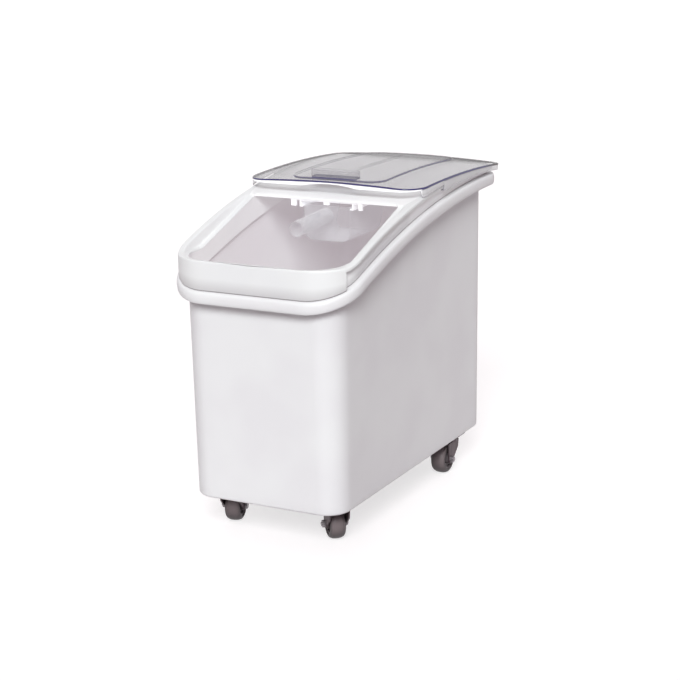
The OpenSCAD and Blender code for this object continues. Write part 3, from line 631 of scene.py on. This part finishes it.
def plastic(name, base, tint, roughness, grain=0.012, glow=None, lift=0.0, paintedCreaseShade=None, edge=None):
    # moulded plastic: the colour drifts with large soft noise, the roughness with finer noise, and the skin has a
    # fine grain; painted light glows from the inside, in place of light that comes through the thin walls, and
    # rubber gets painted shade where it turns away from the eye, leaving a painted sheen on the middle of its tread
    s = plasticSkin
    m = Material(name)
    cloud = m.noise(s["cloudScale"], detail=2)
    tone = m.mix(m.smooth(cloud, *s["cloudRange"]), base, tint)
    # painted shade in the crease between the frame and the rim
    if paintedCreaseShade:
        tone = m.mix(m.mask("paintedCreaseShade"), tone, paintedCreaseShade)
    # painted shade: the edge colour darkens the part where it turns away from the eye
    if edge:
        tone = m.mix(m.node("LayerWeight", sockets={"Blend": s["edgeBlend"]}, output="Facing"), tone, edge)
    extra = {}
    # painted light: the part glows where the inside mask is set, more towards the front, and all over by lift
    if glow:
        towardsFront = m.smooth(m.place(1), s["glowRearY"], s["glowFrontY"])
        evenness = cloud * s["glowCloud"] + (1 - s["glowCloud"] / 2)
        lit = m.mask("inside") * (towardsFront * s["glowRise"] + s["glowRear"]) * evenness + lift
        extra = {"Emission_Color": m.mix(lit, grey(0), glow), "Emission_Strength": 1.0}
    wear = m.noise(s["wearScale"]) * s["wear"] + (roughness - s["wear"] / 2)
    skin = m.bump(m.noise(s["grainScale"], detail=2, rough=0.6), grain * mm, s["grainStrength"])
    return m.finish(Base_Color=tone, Roughness=wear, Normal=skin, IOR=s["ior"], **extra)


clearSkin = {
    "rimBlend": 0.35, "hazeScale": 9, "hazeRange": (0.3, 0.7), "hazeDepth": 0.2, "hazeStrength": 0.1,
    "hazeTone": 0.93, "streakScale": 30, "streakAlong": (1, 0.1, 1), "streak": 0.1, "roughness": 0.08, "ior": 1.49,
    # milkGlow is the painted light that milky places give off
    "lineAlpha": 0.85, "milkTone": colour(246, 246, 248), "milkGlow": 0.3, "milkFull": 0.5,
    # the moulded edge turns from blue to a painted brown reflection towards the back and on the left: y and x in
    # metres where it does so
    "brownReflection": colour(58, 42, 44), "brownY": (0.27, 0.34), "brownX": (-0.18, -0.196),
}


def clearPlastic(name, base, rimTone, lineTone, body, rim, glow=0.0):
    # clear plastic: alpha = body + rim * facing + lineAlpha * line + the milky share; moulded edges, marked by the
    # line attribute, show as dark lines that turn to a painted brown reflection at the back and on the left, and
    # thick milky places show as white and glow with painted light; glow is painted light from the rest of the sheet
    s = clearSkin
    m = Material(name)
    line, frostAndGlow = m.mask("line"), m.mask("frostAndGlow")
    facing = m.node("LayerWeight", sockets={"Blend": s["rimBlend"]}, output="Facing")
    haze = m.noise(s["hazeScale"])
    streak = m.noise(s["streakScale"], stretch=s["streakAlong"])
    hazed = m.mix(m.smooth(haze, *s["hazeRange"]), base, tuple(s["hazeTone"] * v for v in base))
    sheet = m.mix(m.smooth(frostAndGlow, 0.0, s["milkFull"]), m.mix(facing, hazed, rimTone), s["milkTone"])
    # painted brown reflection on the lines towards the back and on the left
    brownReflection = m.math("MAXIMUM", m.smooth(m.place(1), *s["brownY"]), m.smooth(m.place(0), *s["brownX"]))
    tone = m.mix(m.math("MAXIMUM", line, 0.0), sheet, m.mix(brownReflection, lineTone, s["brownReflection"]))
    alpha = m.math("ADD", facing * rim + line * s["lineAlpha"] + frostAndGlow, body, clamp=True)
    # the emission is painted light: milky places glow at milkGlow and the rest of the sheet at glow
    return m.finish(Base_Color=tone, Roughness=streak * s["streak"] + s["roughness"],
                    Normal=m.bump(haze, s["hazeDepth"] * mm, s["hazeStrength"]), Alpha=alpha, IOR=s["ior"],
                    Emission_Color=m.mix(frostAndGlow, grey(glow), grey(s["milkGlow"])), Emission_Strength=1.0)


steelSkin = {
    "brushScale": 120, "brushAlong": (1, 1, 0.15), "brushRange": (0.3, 0.7), "brushing": 0.14,
    "grainScale": 900, "grainDepth": 0.01, "grainStrength": 0.4,
}


def metal(name, low, high, roughness, metallic):
    # brushed or plated steel: two tones and a roughness that follow streaks across the part
    s = steelSkin
    m = Material(name)
    brushed = m.noise(s["brushScale"], detail=4, stretch=s["brushAlong"])
    skin = m.bump(m.noise(s["grainScale"], detail=2), s["grainDepth"] * mm, s["grainStrength"])
    tone = m.mix(m.smooth(brushed, *s["brushRange"]), low, high)
    return m.finish(Base_Color=tone, Metallic=metallic, Roughness=brushed * s["brushing"] + roughness, Normal=skin)


navy = colour(48, 40, 96)
finishes = {  # how each finish is made, its name and what sets it apart
    # the tub's glow is painted light on its inside
    "tub_plastic": (plastic, "tubWhite", {
        "base": colour(233, 232, 234), "tint": colour(229, 227, 230), "roughness": 0.42,
        "glow": (0.12, 0.105, 0.108, 1)}),
    # the frame's glow is painted light, and its crease colour painted shade
    "frame_plastic": (plastic, "frameWhite", {
        "base": colour(236, 236, 237), "tint": colour(233, 233, 235), "roughness": 0.38,
        "glow": (0.15, 0.14, 0.142, 1), "paintedCreaseShade": colour(150, 142, 146)}),
    # the rack glows all over with painted light
    "rack_plastic": (plastic, "rackWhite", {
        "base": colour(236, 235, 238), "tint": colour(230, 229, 233), "roughness": 0.4,
        "glow": grey(0.3), "lift": 1.0}),
    "clear_cover": (clearPlastic, "coverClear", {
        "base": colour(150, 145, 151), "rimTone": colour(186, 182, 188), "lineTone": navy,
        "body": 0.17, "rim": 0.15}),
    # the scoop's glow is painted light, in place of light coming through it
    "clear_scoop": (clearPlastic, "scoopClear", {
        "base": colour(210, 208, 214), "rimTone": colour(236, 236, 240), "lineTone": navy,
        "body": 0.1, "rim": 0.42, "glow": 0.11}),
    "bright_steel": (metal, "brightSteel", {
        "low": colour(128, 122, 126), "high": colour(164, 158, 162), "roughness": 0.34, "metallic": 0.85}),
    "fork_steel": (metal, "forkSteel", {
        "low": colour(70, 58, 62), "high": colour(98, 84, 89), "roughness": 0.4, "metallic": 0.4}),
    "hub_plastic": (plastic, "hubGrey", {
        "base": colour(96, 88, 91), "tint": colour(82, 74, 77), "roughness": 0.45, "grain": 0.02}),
    # the tyre's edge colour is painted shade at its sides, leaving a painted sheen on its tread's middle
    "tyre_rubber": (plastic, "tyreRubber", {
        "base": colour(132, 120, 122), "tint": colour(112, 101, 103), "roughness": 0.45, "grain": 0.03,
        "edge": colour(38, 31, 34)}),
}
looks = {slotName: make(name, **settings) for slotName, (make, name, settings) in finishes.items()}
print("materials made:", len(looks))


def dress(piece, slotName):
    piece.data.materials.clear()
    piece.data.materials.append(looks[slotName])
    return piece


nodeSlots = {
    "tub": "tub_plastic", "lid_frame": "frame_plastic", "cover": "clear_cover", "scoop_rack": "rack_plastic",
    "rack_screws": "bright_steel", "scoop": "clear_scoop", "plate_screws": "bright_steel",
}
casterSlots = {
    "plate": "fork_steel", "rivet": "bright_steel", "balls": "bright_steel", "fork": "fork_steel",
    "sleeve": "bright_steel", "hub": "hub_plastic", "tyre": "tyre_rubber", "axle_bolt": "bright_steel",
    "axle_nut": "bright_steel",
}
for corner in casterPlaces:
    nodeSlots.update({f"{corner}_{part}": slotName for part, slotName in casterSlots.items()})
for nodeName, slotName in nodeSlots.items():
    dress(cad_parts[nodeName], slotName)

for make, nodeName, bodyName in (
    (makeTub, "tub", "bin"),
    (makeFrame, "lid_frame", "bin"),
    (makeCover, "cover", "cover"),
):
    piece = dress(make(), nodeSlots[nodeName])
    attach(piece, bodyName)
    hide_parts(nodeName)
    print("made", piece.name, len(piece.data.vertices), "points")
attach(dress(makePull(), "clear_cover"), "cover")
for pad in makePads():
    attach(dress(pad, "tub_plastic"), "bin")
for corner in casterPlaces:
    tyre = dress(makeTyre(corner), "tyre_rubber")
    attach(tyre, corner + "_wheel")
    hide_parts(corner + "_tyre")
print("made the pull, the pads and the tyres")

cameraFit = {  # where the camera stands, in degrees and mm
    "azimuth": 28.37, "elevation": 14.98, "roll": -1.23, "distance": 3733.0, "across": -5.75, "height": 332.7,
    "focal": 95.29, "sensor": 36.0, "clipEnd": 50.0,
}


def directionTo(azimuth, elevation):
    # from the object towards a camera or lamp: (sin a cos e, -cos a cos e, sin e)
    a, e = math.radians(azimuth), math.radians(elevation)
    return Vector((math.sin(a) * math.cos(e), -math.cos(a) * math.cos(e), math.sin(e)))


def makeCamera():
    # level and upright span the view's plane; the roll turns them about the line of sight
    s = cameraFit
    back, roll = directionTo(s["azimuth"], s["elevation"]), math.radians(s["roll"])
    level = (-back).cross(Vector((0, 0, 1))).normalized()
    upright = level.cross(-back)
    right = level * math.cos(roll) + upright * math.sin(roll)
    up = upright * math.cos(roll) - level * math.sin(roll)
    target = Vector((s["across"] * level.x, s["across"] * level.y, s["height"]))
    data = bpy.data.cameras.new("viewCamera")
    data.sensor_width, data.lens, data.clip_end = s["sensor"], s["focal"], s["clipEnd"]
    place = Matrix([right, up, back]).transposed().to_4x4()
    place.translation = (target + back * s["distance"]) * mm
    camera = addObject("viewCamera", data)
    camera.matrix_world = place
    bpy.context.scene.camera = camera


lamps = {  # azimuth and elevation of each soft sun, its width in degrees, its strength, its colour, if it glints
    "keyLamp": (24, 35, 24, 2.95, (0.95, 1.0, 0.99), True),
    "topLamp": (0, 88, 60, 0.15, (1.0, 1.0, 1.0), False),
    "backLamp": (212, 12, 50, 1.15, (0.95, 1.0, 1.0), False),
}
ambientLight = {"colour": (1.0, 0.84, 0.87, 1.0), "strength": 0.25}


def makeLamps():
    # suns turned so that their light comes from their azimuth and elevation
    for name, (azimuth, elevation, width, strength, tone, glints) in lamps.items():
        data = bpy.data.lights.new(name, "SUN")
        data.energy, data.angle, data.color = strength, math.radians(width), tone
        lamp = addObject(name, data)
        lamp.visible_glossy = glints
        lamp.matrix_world = directionTo(azimuth, elevation).to_track_quat("Z", "Y").to_matrix().to_4x4()


def makeWorld():
    # white wherever a ray sees it straight; a soft light otherwise
    w = Material("studio", "worlds")
    soft = w.node("Background", sockets={"Color": ambientLight["colour"], "Strength": ambientLight["strength"]})
    white = w.node("Background", sockets={"Color": grey(1), "Strength": 1.0})
    blend = w.node("MixShader", sockets={0: w.seenStraight(), 1: soft, 2: white})
    w.node("OutputWorld", sockets={"Surface": blend})
    bpy.context.scene.world = w.data


floorLook = {
    "tone": colour(178, 172, 174), "cloud": colour(176, 170, 172), "cloudScale": 3, "cloudRange": (0.3, 0.7),
    "roughness": 0.9, "seenGlow": 0.65, "halfSize": 20.0,
}


def makeFloor():
    # a mid grey floor that lifts itself to white where it is seen, so that it throws little light back and keeps
    # the shadow
    f, h = floorLook, floorLook["halfSize"]
    mesh = bpy.data.meshes.new("studioFloor")
    mesh.from_pydata([(-h, -h, 0), (h, -h, 0), (h, h, 0), (-h, h, 0)], [], [(0, 1, 2, 3)])
    m = Material("floorPale")
    base = m.mix(m.smooth(m.noise(f["cloudScale"], detail=2), *f["cloudRange"]), f["tone"], f["cloud"])
    glow = m.mix(m.seenStraight(), grey(0), grey(f["seenGlow"]))
    look = m.finish(Base_Color=base, Roughness=f["roughness"], Emission_Color=glow, Emission_Strength=1.0)
    mesh.materials.append(look)
    addObject("studioFloor", mesh)


makeCamera()
makeLamps()
makeWorld()
makeFloor()
bpy.context.scene.view_settings.view_transform = "Standard"
print("studio ready")
